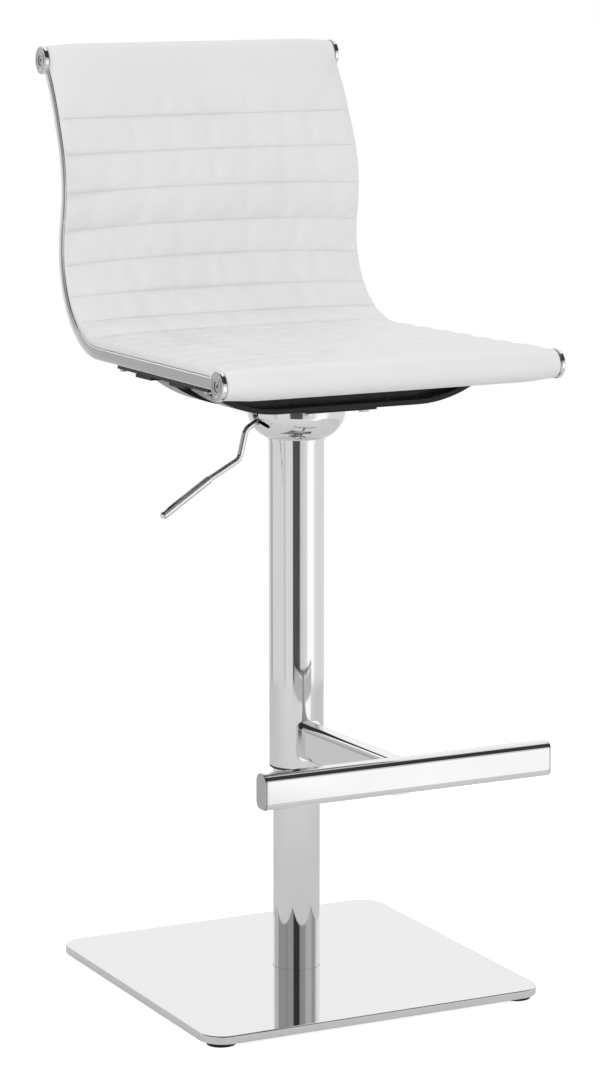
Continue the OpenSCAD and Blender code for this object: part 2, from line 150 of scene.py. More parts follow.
class StoolUpholsterySettings(bpy.types.PropertyGroup):
    """Sizes and colours of the padded sling."""

    plain_front: bpy.props.FloatProperty(
        name="Plain Front",
        description="Distance from the front roll's middle to the first seam",
        default=0.075,
        unit="LENGTH",
    )
    plain_top: bpy.props.FloatProperty(
        name="Plain Top",
        description="Distance from the last seam to the top roll's middle",
        default=0.088,
        unit="LENGTH",
    )
    channels: bpy.props.IntProperty(
        name="Channels", description="Number of padded channels between the seams", default=14
    )
    seat_padding: bpy.props.FloatProperty(
        name="Seat Padding",
        description="Height of the seat's padding above the rails' middle line, at its sides",
        default=0.0165,
        unit="LENGTH",
    )
    back_padding: bpy.props.FloatProperty(
        name="Back Padding",
        description="Height of the back's padding above the rails' middle line, at its sides",
        default=0.0105,
        unit="LENGTH",
    )
    crown: bpy.props.FloatProperty(
        name="Crown",
        description="How much higher the seat's padding is in the middle than at its sides",
        default=0.006,
        unit="LENGTH",
    )
    seam_depth: bpy.props.FloatProperty(
        name="Seam Depth", description="Depth of a seam below its channels", default=0.0034, unit="LENGTH"
    )
    stitch_pitch: bpy.props.FloatProperty(
        name="Stitch Pitch", description="Distance from one stitch to the next", default=0.0062, unit="LENGTH"
    )
    thread: bpy.props.FloatProperty(
        name="Thread", description="Diameter of the sewing thread", default=0.001, unit="LENGTH"
    )
    leather: bpy.props.FloatVectorProperty(
        name="Leather", description="Colour of the leatherette", default=(0.83, 0.83, 0.825), subtype="COLOR"
    )


class StoolMetalSettings(bpy.types.PropertyGroup):
    """Colours of the metal, plastic and rubber parts, and the sizes of their edges."""

    steel: bpy.props.FloatVectorProperty(
        name="Polished Steel",
        description="Colour of the polished steel",
        default=(0.80, 0.80, 0.81),
        subtype="COLOR",
    )
    chrome: bpy.props.FloatVectorProperty(
        name="Chrome",
        description="Colour of the chrome plating",
        default=(0.82, 0.82, 0.83),
        subtype="COLOR",
    )
    black: bpy.props.FloatVectorProperty(
        name="Black Coat",
        description="Colour of the black coated seat frame",
        default=(0.012, 0.012, 0.013),
        subtype="COLOR",
    )
    base_edge: bpy.props.FloatProperty(
        name="Base Edge", description="Radius of the base cover's top edge", default=0.0016, unit="LENGTH"
    )
    lever_bend: bpy.props.FloatProperty(
        name="Lever Bend",
        description="Radius of the bends in the release lever",
        default=0.013,
        unit="LENGTH",
    )


class StoolStageSettings(bpy.types.PropertyGroup):
    """Camera and light of the studio."""

    azimuth: bpy.props.FloatProperty(
        name="Azimuth",
        description="Direction of the camera round the stool, from its front",
        default=math.radians(-26.8),
        subtype="ANGLE",
    )
    elevation: bpy.props.FloatProperty(
        name="Elevation",
        description="Height of the camera above the horizon",
        default=math.radians(10.3),
        subtype="ANGLE",
    )
    distance: bpy.props.FloatProperty(
        name="Distance",
        description="Distance from the camera to the point it aims at",
        default=4.642,
        unit="LENGTH",
    )
    aim_height: bpy.props.FloatProperty(
        name="Aim Height",
        description="Height of the point that the camera aims at",
        default=0.5707,
        unit="LENGTH",
    )
    focal_length: bpy.props.FloatProperty(
        name="Focal Length", description="Focal length of the camera in millimetres", default=122.2
    )
    key_power: bpy.props.FloatProperty(
        name="Key Light",
        description="Power that every studio light takes its share of",
        default=20,
        unit="POWER",
    )
    floor_radius: bpy.props.FloatProperty(
        name="Floor Radius", description="Radius of the round studio floor", default=1.8, unit="LENGTH"
    )


# ---- Modelling helpers ----


def clean_start():
    """Leaves edit mode and deselects everything, CAD nodes included."""
    if bpy.context.object and bpy.context.object.mode != "OBJECT":
        bpy.ops.object.mode_set(mode="OBJECT")
    bpy.ops.object.select_all(action="DESELECT")
    bpy.context.view_layer.objects.active = None


def pick(piece):
    """Makes a piece the only selected one."""
    clean_start()
    piece.select_set(True)
    bpy.context.view_layer.objects.active = piece


def named(name):
    """Names the object just added, and its mesh."""
    piece = bpy.context.object
    piece.name = name
    piece.data.name = name
    return piece


def in_edit(piece):
    """Enters edit mode on a piece, with every face selected."""
    pick(piece)
    bpy.ops.object.mode_set(mode="EDIT")
    bpy.ops.mesh.select_mode(type="FACE")
    bpy.ops.mesh.select_all(action="SELECT")


def choose(piece, kind, test):
    """In edit mode, selects the verts, edges or faces that pass a test."""
    bpy.ops.mesh.select_mode(type=kind)
    bpy.ops.mesh.select_all(action="DESELECT")
    shape = bmesh.from_edit_mesh(piece.data)
    for item in {"VERT": shape.verts, "EDGE": shape.edges, "FACE": shape.faces}[kind]:
        item.select = bool(test(item))
    shape.select_flush_mode()
    bmesh.update_edit_mesh(piece.data)


def leave_edit():
    """Goes back to object mode."""
    bpy.ops.object.mode_set(mode="OBJECT")


def turn_section(angle, centre, axis, step):
    """Sweeps the selected section round an axis, right-handed. The spin tool turns the other way."""
    steps = max(4, round(abs(math.degrees(angle)) / step))
    bpy.ops.mesh.spin(steps=steps, angle=-angle, center=centre, axis=axis)


def settle(piece, matrix=None):
    """Puts a piece's place into its mesh, leaving its object at the origin, and turns its faces outwards."""
    if matrix is not None:
        piece.data.transform(matrix)
    pick(piece)
    bpy.ops.object.transform_apply(location=True, rotation=True, scale=True)
    in_edit(piece)
    bpy.ops.mesh.remove_doubles(threshold=1e-6)
    bpy.ops.mesh.normals_make_consistent(inside=False)
    leave_edit()
    return piece


def smooth(piece, angle):
    """Smooths a piece but for edges sharper than an angle in degrees."""
    pick(piece)
    bpy.ops.object.shade_smooth_by_angle(angle=math.radians(angle))


def keep_flat_faces_flat(piece):
    """Weights corner normals by face area, so that a rounded edge doesn't bend a flat face's reflections."""
    smooth(piece, 60)
    pick(piece)
    bpy.ops.object.modifier_add(type="WEIGHTED_NORMAL")
    piece.modifiers[-1].keep_sharp = True
    bpy.ops.object.modifier_apply(modifier=piece.modifiers[-1].name)


def combine(piece, other, operation):
    """Unites two pieces, or cuts the second from the first, and removes the second."""
    pick(piece)
    bpy.ops.object.modifier_add(type="BOOLEAN")
    cut = piece.modifiers[-1]
    cut.operation = operation
    cut.solver = "EXACT"
    cut.object = other
    bpy.ops.object.modifier_apply(modifier=cut.name)
    pick(other)
    bpy.ops.object.delete()


def rod(name, start, end, radius, sides, bevel=0.0):
    """A round bar from start to end, its rims bevelled."""
    clean_start()
    a, b = Vector(start), Vector(end)
    turn = (b - a).to_track_quat("Z", "Y").to_euler()
    bpy.ops.mesh.primitive_cylinder_add(
        vertices=sides, radius=radius, depth=(b - a).length, location=(a + b) / 2, rotation=turn
    )
    piece = named(name)
    bpy.ops.object.transform_apply(location=True, rotation=True, scale=True)
    if bevel:
        axis = (b - a).normalized()
        in_edit(piece)
        choose(piece, "EDGE", lambda e: any(abs(f.normal.dot(axis)) >= 0.5 for f in e.link_faces))
        bpy.ops.mesh.bevel(offset=bevel, segments=2, affect="EDGES")
        leave_edit()
    return piece


def ready(piece, body, material, replaced=()):
    """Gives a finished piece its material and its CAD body."""
    piece.data.materials.clear()
    piece.data.materials.append(material)
    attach(piece, body)
    if replaced:
        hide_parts(*replaced)


def body_of_node(node):
    """The CAD body that holds a node."""
    groups = frame["record"]["behaviour"]["bodies"]
    return next(body for body, members in groups.items() if node in members)


# ---- Materials ----


class Surface:
    """A material under construction: its node tree, the main shader and the piece's own coordinates."""

    def __init__(self, name, **sockets):
        self.material = bpy.data.materials.new(name)
        self.material.use_nodes = True
        tree = self.material.node_tree
        self.nodes, self.links = tree.nodes, tree.links
        self.shader = self.nodes["Principled BSDF"]
        for socket, value in sockets.items():
            self.shader.inputs[socket.replace("_", " ")].default_value = value
        self.place = self.nodes.new("ShaderNodeTexCoord").outputs["Object"]

    def stretched(self, scale):
        """The piece's coordinates, scaled along each axis."""
        mapping = self.nodes.new("ShaderNodeMapping")
        mapping.inputs["Scale"].default_value = scale
        self.links.new(self.place, mapping.inputs["Vector"])
        return mapping.outputs["Vector"]

    def noise(self, scale, detail=3.0, roughness=0.5, stretch=None):
        """Cloudy noise from 0 to 1."""
        made = self.nodes.new("ShaderNodeTexNoise")
        made.inputs["Scale"].default_value = scale
        made.inputs["Detail"].default_value = detail
        made.inputs["Roughness"].default_value = roughness
        self.links.new(self.stretched(stretch) if stretch else self.place, made.inputs["Vector"])
        return made.outputs["Fac"]

    def cells(self, scale):
        """Distance to the nearest edge of a cell pattern."""
        made = self.nodes.new("ShaderNodeTexVoronoi")
        made.feature = "DISTANCE_TO_EDGE"
        made.inputs["Scale"].default_value = scale
        self.links.new(self.place, made.inputs["Vector"])
        return made.outputs["Distance"]

    def attribute(self, name):
        """A value kept on the piece's own vertices."""
        made = self.nodes.new("ShaderNodeAttribute")
        made.attribute_name = name
        return made.outputs["Fac"]

    def height(self):
        """Height above the floor."""
        made = self.nodes.new("ShaderNodeSeparateXYZ")
        self.links.new(self.place, made.inputs[0])
        return made.outputs["Z"]

    def between(self, value, low, high, start, end):
        """Maps a value's range low..high onto start..end, clamped."""
        made = self.nodes.new("ShaderNodeMapRange")
        for socket, number in zip(("From Min", "From Max", "To Min", "To Max"), (low, high, start, end)):
            made.inputs[socket].default_value = number
        self.links.new(value, made.inputs["Value"])
        return made.outputs["Result"]

    def math(self, operation, a, b):
        """One sum of two values, either of which may be a number."""
        made = self.nodes.new("ShaderNodeMath")
        made.operation = operation
        for socket, value in zip(made.inputs, (a, b)):
            if isinstance(value, (int, float)):
                socket.default_value = value
            else:
                self.links.new(value, socket)
        return made.outputs["Value"]

    def colours(self, value, *stops):
        """A colour ramp through (position, colour) stops."""
        made = self.nodes.new("ShaderNodeValToRGB")
        ramp = made.color_ramp
        while len(ramp.elements) < len(stops):
            ramp.elements.new(0.5)
        for element, (position, colour) in zip(ramp.elements, stops):
            element.position = position
            element.color = (*colour, 1)
        self.links.new(value, made.inputs["Fac"])
        return made.outputs["Color"]

    def bump(self, height, strength, distance, before=None):
        """Relief from a height, over an earlier relief."""
        made = self.nodes.new("ShaderNodeBump")
        made.inputs["Strength"].default_value = strength
        made.inputs["Distance"].default_value = distance
        self.links.new(height, made.inputs["Height"])
        if before is not None:
            self.links.new(before, made.inputs["Normal"])
        return made.outputs["Normal"]

    def set(self, **sockets):
        """Links values to the shader's sockets, and gives the finished material."""
        for socket, value in sockets.items():
            self.links.new(value, self.shader.inputs[socket.replace("_", " ")])
        return self.material


def shade(colour, factor):
    """A colour made darker or lighter."""
    return tuple(min(1.0, c * factor) for c in colour)


def polished_steel(colour):
    """Mirror-polished stainless steel with faint upright polishing lines and handling marks."""
    s = Surface("polished_steel", Metallic=1.0)
    clouds = s.noise(9, 4)
    lines = s.noise(420, 2, stretch=(1, 1, 0.012))
    tint = s.colours(clouds, (0.3, shade(colour, 0.97)), (0.7, shade(colour, 1.02)))
    rough = s.math("ADD", s.between(clouds, 0.35, 0.75, 0.035, 0.075), s.between(lines, 0.45, 0.8, 0.0, 0.03))
    return s.set(Base_Color=tint, Roughness=rough, Normal=s.bump(lines, 0.006, 0.0002))


def base_steel(colour, top):
    """The base cover: polished on top, brushed along its side wall, whose colour is a little lighter as
    painted light.
    """
    s = Surface("base_steel", Metallic=1.0)
    on_top = s.between(s.height(), top - 1.6 * MM, top - 0.8 * MM, 0.0, 1.0)
    smears = s.noise(5, 5, 0.6)
    lines = s.noise(900, 2, stretch=(0.02, 0.02, 1))
    grain = s.math("MULTIPLY", lines, s.between(on_top, 0, 1, 1.0, 0.0))
    # Painted light: the side wall's colour is a little lighter than the top's, standing in for the brighter
    # light it shows.
    tint = s.colours(on_top, (0.0, shade(colour, 0.98)), (1.0, shade(colour, 0.965)))
    top_rough = s.between(smears, 0.4, 0.75, 0.03, 0.075)
    rough = s.math("ADD", top_rough, s.between(grain, 0.2, 0.8, 0.0, 0.38))
    return s.set(Base_Color=tint, Roughness=rough, Normal=s.bump(grain, 0.25, 0.0003))


def chrome(colour):
    """Bright chrome plating, very slightly wavy, with soft smudges."""
    s = Surface("chrome", Metallic=1.0)
    smudge = s.noise(28, 4)
    wave = s.noise(14, 1)
    tint = s.colours(smudge, (0.3, shade(colour, 0.97)), (0.75, shade(colour, 1.01)))
    rough = s.between(smudge, 0.4, 0.75, 0.03, 0.085)
    return s.set(Base_Color=tint, Roughness=rough, Normal=s.bump(wave, 0.05, 0.0006))


def satin_steel(colour):
    """Ground and lightly polished steel of the footrest's end plates."""
    s = Surface("satin_steel", Metallic=1.0)
    clouds = s.noise(30, 4)
    lines = s.noise(1200, 2, stretch=(1, 1, 0.03))
    tint = s.colours(clouds, (0.3, shade(colour, 0.60)), (0.7, shade(colour, 0.68)))
    rough = s.math("ADD", s.between(clouds, 0.3, 0.7, 0.12, 0.2), s.between(lines, 0.4, 0.8, 0.0, 0.08))
    return s.set(Base_Color=tint, Roughness=rough, Normal=s.bump(lines, 0.12, 0.0002))


def plain_steel():
    """Bare drawn steel of the hidden parts, dull and slightly stained."""
    s = Surface("plain_steel", Metallic=1.0)
    stain = s.noise(40, 5, 0.6)
    lines = s.noise(600, 2, stretch=(0.05, 1, 1))
    tint = s.colours(stain, (0.3, (0.22, 0.215, 0.21)), (0.7, (0.36, 0.36, 0.365)))
    rough = s.between(stain, 0.3, 0.7, 0.55, 0.38)
    return s.set(Base_Color=tint, Roughness=rough, Normal=s.bump(lines, 0.15, 0.0003))


def zinc_steel():
    """Zinc-plated fasteners with a fine spangle."""
    s = Surface("zinc_steel", Metallic=1.0)
    spangle = s.cells(600)
    dull = s.noise(120, 3)
    tint = s.colours(dull, (0.3, (0.50, 0.505, 0.51)), (0.7, (0.68, 0.68, 0.685)))
    rough = s.between(dull, 0.3, 0.7, 0.36, 0.2)
    return s.set(Base_Color=tint, Roughness=rough, Normal=s.bump(spangle, 0.08, 0.0002))


def black_coat(colour):
    """Satin black powder coat with a fine orange peel."""
    s = Surface("black_coat", Specular_IOR_Level=0.22)
    peel = s.noise(650, 2)
    worn = s.noise(30, 4)
    tint = s.colours(worn, (0.3, shade(colour, 0.8)), (0.75, shade(colour, 1.6)))
    rough = s.between(worn, 0.3, 0.7, 0.16, 0.3)
    return s.set(Base_Color=tint, Roughness=rough, Normal=s.bump(peel, 0.12, 0.0003))


def black_plastic():
    """Moulded black plastic with a fine spark texture."""
    s = Surface("black_plastic")
    spark = s.noise(1400, 2)
    haze = s.noise(60, 3)
    tint = s.colours(haze, (0.3, (0.012, 0.012, 0.012)), (0.7, (0.024, 0.024, 0.025)))
    rough = s.between(haze, 0.3, 0.7, 0.38, 0.52)
    return s.set(Base_Color=tint, Roughness=rough, Normal=s.bump(spark, 0.2, 0.0002))


def foot_rubber():
    """Matt black rubber with dust in its grain."""
    s = Surface("foot_rubber")
    grain = s.noise(900, 4, 0.7)
    dust = s.noise(70, 4)
    tint = s.colours(dust, (0.35, (0.012, 0.012, 0.012)), (0.8, (0.035, 0.034, 0.033)))
    rough = s.between(dust, 0.3, 0.7, 0.7, 0.9)
    return s.set(Base_Color=tint, Roughness=rough, Normal=s.bump(grain, 0.3, 0.0004))


def white_leather(colour):
    """Smooth white leatherette: pebbled grain, soft creases, and a little painted shade and dust darkening it
    along the seams.
    """
    s = Surface("white_leather")
    pebble = s.between(s.cells(950), 0.0, 0.45, 0.0, 1.0)
    pores = s.noise(2600, 2)
    creases = s.noise(55, 4, 0.6)
    clouds = s.noise(7, 3)
    seam = s.attribute("seam_shade_weight")
    # Painted shade with a little dust: the colour darkens beside the seams, by each vertex's nearness to a
    # seam.
    tint = s.colours(
        s.math("SUBTRACT", clouds, s.math("MULTIPLY", seam, 0.35)),
        (0.0, shade(colour, 0.88)),
        (0.3, shade(colour, 0.975)),
        (0.7, shade(colour, 1.01)),
    )
    rough = s.math("ADD", s.between(clouds, 0.3, 0.7, 0.40, 0.48), s.between(pebble, 0, 1, 0.06, 0.0))
    relief = s.bump(creases, 0.12, 0.0012)
    relief = s.bump(pebble, 0.10, 0.0002, relief)
    relief = s.bump(pores, 0.05, 0.0001, relief)
    return s.set(Base_Color=tint, Roughness=rough, Normal=relief)


def white_thread(colour):
    """Twisted polyester thread."""
    s = Surface("white_thread")
    twist = s.noise(2400, 1, stretch=(1, 0.3, 0.3))
    tint = s.colours(twist, (0.3, shade(colour, 0.80)), (0.7, shade(colour, 0.95)))
    rough = s.between(twist, 0.3, 0.7, 0.5, 0.7)
    return s.set(Base_Color=tint, Roughness=rough, Normal=s.bump(twist, 0.3, 0.0002))


def finish(slot):
    """The material of a record slot, made once."""
    found = bpy.data.materials.get("stool_" + slot)
    if found:
        return found
    metal = bpy.context.scene.stool_metal
    cover_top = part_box("base_cover")[1].z
    makers = {
        "polished_steel": lambda: polished_steel(metal.steel),
        "base_steel": lambda: base_steel(metal.steel, cover_top),
        "satin_steel": lambda: satin_steel(metal.steel),
        "chrome": lambda: chrome(metal.chrome),
        "plate_steel": plain_steel,
        "zinc_steel": zinc_steel,
        "black_steel": lambda: black_coat(metal.black),
        "black_plastic": black_plastic,
        "foot_rubber": foot_rubber,
        "white_leather": lambda: white_leather(bpy.context.scene.stool_upholstery.leather),
        "thread": lambda: white_thread(bpy.context.scene.stool_upholstery.leather),
    }
    made = makers[slot]()
    made.name = "stool_" + slot
    return made


# ---- Operators ----


# Cut steel parts whose sharp edges are broken, with the width of the break in metres
BROKEN_EDGES = {
    "front_stretcher": 0.0008,
    "rear_stretcher": 0.0008,
    "centre_plate": 0.0006,
    "left_side_bar": 0.0006,
    "right_side_bar": 0.0006,
}
# Nodes whose surface differs from the rest of their slot
OWN_FINISH = {"footrest_end_caps": "satin_steel"}


class STOOL_OT_finish_cad(bpy.types.Operator):
    """Give every CAD node its finish"""

    bl_idname = "stool.finish_cad"
    bl_label = "Finish CAD Parts"

    def execute(self, context):
        for part in frame["record"]["subparts"]:
            node = frame["nodes"][part["node"]]
            node.data.materials.clear()
            own = OWN_FINISH.get(part["node"], part["material_slot"])
            node.data.materials.append(finish(own))
        for name, width in BROKEN_EDGES.items():
            bevel = frame["nodes"][name].modifiers.new("edge", "BEVEL")
            bevel.width = width
            bevel.segments = 2
            bevel.limit_method = "ANGLE"
            bevel.angle_limit = math.radians(40)
        return {"FINISHED"}


COVER_CORNER = 0.032
COVER_SHEET = 0.0015
COVER_CLEARANCE = 0.3 * MM


class STOOL_OT_base_cover(bpy.types.Operator):
    """Model the pressed base cover with its rounded top edge"""

    bl_idname = "stool.base_cover"
    bl_label = "Base Cover"

    def execute(self, context):
        low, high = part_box("base_cover")
        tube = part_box("lower_column")[1].x
        edge = context.scene.stool_metal.base_edge
        clean_start()
        bpy.ops.mesh.primitive_plane_add(size=high.x - low.x, location=(0, 0, high.z))
        cover = named("base_cover_shell")
        bpy.ops.object.transform_apply(location=True, rotation=False, scale=True)
        in_edit(cover)
        bpy.ops.mesh.select_mode(type="VERT")
        bpy.ops.mesh.bevel(offset=COVER_CORNER, segments=20, affect="VERTICES")
        bpy.ops.mesh.select_mode(type="FACE")
        bpy.ops.mesh.select_all(action="SELECT")
        bpy.ops.mesh.extrude_region_move(TRANSFORM_OT_translate={"value": (0, 0, low.z - high.z)})
        choose(cover, "FACE", lambda f: abs(f.normal.z) > 0.9 and f.calc_center_median().z < high.z - edge)
        bpy.ops.mesh.delete(type="FACE")
        choose(
            cover,
            "EDGE",
            lambda e: all(v.co.z > high.z - 1e-5 for v in e.verts) and len(e.link_faces) == 2,
        )
        bpy.ops.mesh.bevel(offset=edge, segments=4, affect="EDGES")
        leave_edit()
        settle(cover)
        pick(cover)
        bpy.ops.object.modifier_add(type="SOLIDIFY")
        cover.modifiers[-1].thickness = COVER_SHEET
        cover.modifiers[-1].offset = -1
        bpy.ops.object.modifier_apply(modifier=cover.modifiers[-1].name)
        hole = rod("hole", (0, 0, 0), (0, 0, 0.05), tube + COVER_CLEARANCE, 96)
        combine(cover, hole, "DIFFERENCE")
        settle(cover)
        keep_flat_faces_flat(cover)
        ready(cover, body_of_node("base_cover"), finish("base_steel"), ("base_cover",))
        return {"FINISHED"}


# Two grooves along a rail's outer face, by their heights from its middle line, in mm
RAIL_GROOVES = ((1.2, 2.6), (3.9, 5.3))
RAIL_GROOVE_DEPTH = 0.8
EYE_RADIUS = ROLL_CAP_RADIUS - 2.7


def rail_section():
    """Outline of a rail's section: (outward, up) points in mm from its outer face and middle line."""
    half = RAIL_DEPTH / 2
    outline = []
    corners = (
        (0, half, 1.7, 0),
        (-RAIL_WIDTH, half, 0.7, 90),
        (-RAIL_WIDTH, -half, 0.7, 180),
        (0, -half, 1.2, 270),
    )
    for out, up, soft, start in corners:
        middle = (out - math.copysign(soft, out + 1), up - math.copysign(soft, up))
        for step in range(5):
            angle = math.radians(start + step * 22.5)
            outline.append((middle[0] + soft * math.cos(angle), middle[1] + soft * math.sin(angle)))
    for low, high in RAIL_GROOVES:
        outline += [(0, low), (-0.25, low + 0.12), (-RAIL_GROOVE_DEPTH, low + 0.3)]
        outline += [(-RAIL_GROOVE_DEPTH, high - 0.3), (-0.25, high - 0.12), (0, high)]
    return outline


def sweep_rail():
    """The right rail in its own frame, swept along the chain by extruding and spinning its section."""
    outline = rail_section()
    clean_start()
    bpy.ops.mesh.primitive_circle_add(vertices=len(outline), radius=0.01, fill_type="NGON")
    rail = named("right_rail_bar")
    for vertex, (out, up) in zip(rail.data.vertices, outline):
        vertex.co = (out * MM, 0, up * MM)
    in_edit(rail)
    v0, w0, heading = 0.0, 0.0, 0.0
    for size, turn in RAIL_CHAIN:
        forward = (math.cos(heading), math.sin(heading))
        if turn == 0:
            move = (0, size * MM * forward[0], size * MM * forward[1])
            bpy.ops.mesh.extrude_region_move(TRANSFORM_OT_translate={"value": move})
            v0, w0 = v0 + size * forward[0], w0 + size * forward[1]
            continue
        sign = math.copysign(1, turn)
        centre = (v0 - sign * size * forward[1], w0 + sign * size * forward[0])
        turn_section(math.radians(turn), (0, centre[0] * MM, centre[1] * MM), (1, 0, 0), 1.5)
        heading += math.radians(turn)
        v0 = centre[0] + sign * size * math.sin(heading)
        w0 = centre[1] - sign * size * math.cos(heading)
    leave_edit()
    return rail, (v0, w0)


class STOOL_OT_rails(bpy.types.Operator):
    """Model the two side rails with their grooves and end eyes"""

    bl_idname = "stool.rails"
    bl_label = "Side Rails"

    def execute(self, context):
        for side, matrix in (("right", RIGHT_RAIL_FRAME), ("left", MIRROR_X @ RIGHT_RAIL_FRAME)):
            rail, top = sweep_rail()
            rail.name = rail.data.name = side + "_rail_bar"
            settle(rail)
            for v, w in ((0, 0), top):
                eye = rod(
                    "eye",
                    (-RAIL_WIDTH * MM, v * MM, w * MM),
                    (0, v * MM, w * MM),
                    EYE_RADIUS * MM,
                    64,
                    0.5 * MM,
                )
                combine(rail, eye, "UNION")
            settle(rail, matrix)
            smooth(rail, 28)
            node = side + "_rail"
            ready(rail, body_of_node(node), finish("chrome"), (node,))
        return {"FINISHED"}


# Middle line of the lever from its inner end: (distance from the column's axis, height from the pivot), in mm
LEVER_LINE = ((-6, 0), (43, 0), (77, -18), (86.5, -54.5), (131, -75.5), (197, -113.5))
LEVER_ROD = 4
LEVER_BOSS = 6.5
LEVER_BORE = 2.05
# How far the lever points forward of the sitter's right, in degrees
LEVER_TURN = 8


class STOOL_OT_lever(bpy.types.Operator):
    """Model the bent release lever rod with its pivot boss"""

    bl_idname = "stool.lever"
    bl_label = "Release Lever"

    def execute(self, context):
        bend = context.scene.stool_metal.lever_bend
        pin_low, pin_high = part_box("lever_pin")
        pivot_r = math.hypot((pin_low.x + pin_high.x) / 2, (pin_low.y + pin_high.y) / 2)
        pivot_z = (pin_low.z + pin_high.z) / 2
        points = [Vector((r * MM, 0, z * MM)) for r, z in LEVER_LINE]
        clean_start()
        bpy.ops.mesh.primitive_circle_add(
            vertices=32,
            radius=LEVER_ROD * MM,
            fill_type="NGON",
            location=points[0],
            rotation=(0, math.pi / 2, 0),
        )
        lever = named("release_lever_rod")
        bpy.ops.object.transform_apply(location=True, rotation=True, scale=True)
        in_edit(lever)
        here = points[0]
        for before, corner, after in zip(points, points[1:], points[2:]):
            arriving, leaving = (corner - before).normalized(), (after - corner).normalized()
            angle = arriving.angle(leaving)
            cut = bend * math.tan(angle / 2)
            move = corner - arriving * cut - here
            bpy.ops.mesh.extrude_region_move(TRANSFORM_OT_translate={"value": move})
            axis = arriving.cross(leaving).normalized()
            centre = corner - arriving * cut + axis.cross(arriving) * bend
            turn_section(angle, centre, axis, 4)
            here = corner + leaving * cut
        bpy.ops.mesh.extrude_region_move(TRANSFORM_OT_translate={"value": points[-1] - here})
        leave_edit()
        settle(lever)
        boss = rod("boss", (pivot_r, -7 * MM, 0), (pivot_r, 7 * MM, 0), LEVER_BOSS * MM, 48, 0.6 * MM)
        combine(lever, boss, "UNION")
        bore = rod("bore", (pivot_r, -9 * MM, 0), (pivot_r, 9 * MM, 0), LEVER_BORE * MM, 32)
        combine(lever, bore, "DIFFERENCE")
        turn = Matrix.Rotation(math.radians(180 + LEVER_TURN), 4, "Z")
        settle(lever, Matrix.Translation((0, 0, pivot_z)) @ turn)
        smooth(lever, 35)
        ready(lever, body_of_node("release_lever"), finish("chrome"), ("release_lever",))
        return {"FINISHED"}


# ---- Upholstery ----

# Sizes of the sling in mm: its rolls, its distances from the rails' outer faces, and the mesh's spacing
ROLL_RADIUS = 17.7
ROLL_SWELL = 2.6
ROLL_INSET = 0.6
LIP_INSET = 0.4
LIP_UNDERSIDE = 7.75
SIDE_INSET = RAIL_WIDTH + 0.2
EDGE_STEPS = (0, 0.5, 1.4, 2.8, 4.6, 7, 10, 14, 19, 25)
# The sling's side, from its lip over the rail down the rail's inner face: (inset, height)
SIDE_STATIONS = (
    (2.5, LIP_UNDERSIDE),
    (SIDE_INSET - 0.4, LIP_UNDERSIDE),
    (SIDE_INSET, 6.4),
    (SIDE_INSET, 2.5),
)
COLUMN_PITCH = 8
SEAM_FLANK = 1.8
NOSE_STEPS = 14
HEM = 4
PUCKER = 0.3
CLOTH_FRAMES = 20
CLOTH_CAP = 4
# Where the sling goes over from seat padding to back padding, along the middle line
BACK_STARTS = 400
BACK_FULL = 640


def ease(x, low, high):
    """Smooth step from 0 at low to 1 at high."""
    t = np.clip((np.asarray(x, float) - low) / (high - low), 0, 1)
    return t * t * (3 - 2 * t)


def seam_places(settings):
    """Distances of the seams from the front roll along the middle line, in mm."""
    first = settings.plain_front / MM
    last = PATH_LENGTH - settings.plain_top / MM
    return np.linspace(first, last, settings.channels + 1)


def row_places(seams):
    """Distances of the mesh's rows, dense beside each seam."""
    rows = list(np.linspace(0, seams[0] - SEAM_FLANK, 12))
    pitch = seams[1] - seams[0]
    inner = np.linspace(SEAM_FLANK, pitch - SEAM_FLANK, 9)
    for seam in seams[:-1]:
        rows += [seam, *(seam + inner)]
    rows += [seams[-1], *np.linspace(seams[-1] + SEAM_FLANK, PATH_LENGTH, 14)]
    return np.array(rows)


def seam_bow(s):
    """How far the middle of a seam lies above its ends, which the back's tension pulls down."""
    return 8 * ease(s, 430, 560) * (1 - ease(s, 570, 740))


def column_places(half_width):
    """Positions across the sling from -1 to 1, dense at the sides."""
    count = round((half_width - EDGE_STEPS[-1]) / COLUMN_PITCH)
    gaps = np.array([*EDGE_STEPS, *np.linspace(EDGE_STEPS[-1], half_width, count + 1)[1:]])
    left = -(1 - gaps / half_width)
    return np.concatenate([left, -left[-2::-1]])


def edge_round(gap, radius):
    """0 at the edge, rising round a corner to 1 at the radius."""
    return (1 - (1 - np.clip(gap / radius, 0, 1)) ** 2.2) ** (1 / 2.2)


def place_points(s, inset, t, offset, around=math.pi / 2):
    """World points at distance s along the middle line, offset from it at an angle around its heading."""
    v, w, heading = path_at(s)
    edge = np.stack([np.broadcast_to(-inset, v.shape), v, w], -1) * MM
    rail = np.array(RIGHT_RAIL_FRAME)
    edge = edge @ rail[:3, :3].T + rail[:3, 3]
    turn = np.array(SEAT_FRAME)[:3, :3]
    out = np.stack([0 * v, np.cos(heading + around), np.sin(heading + around)], -1) @ turn.T
    points = edge + out * (offset * MM)[..., None]
    points[..., 0] = edge[..., 0] * t
    return points


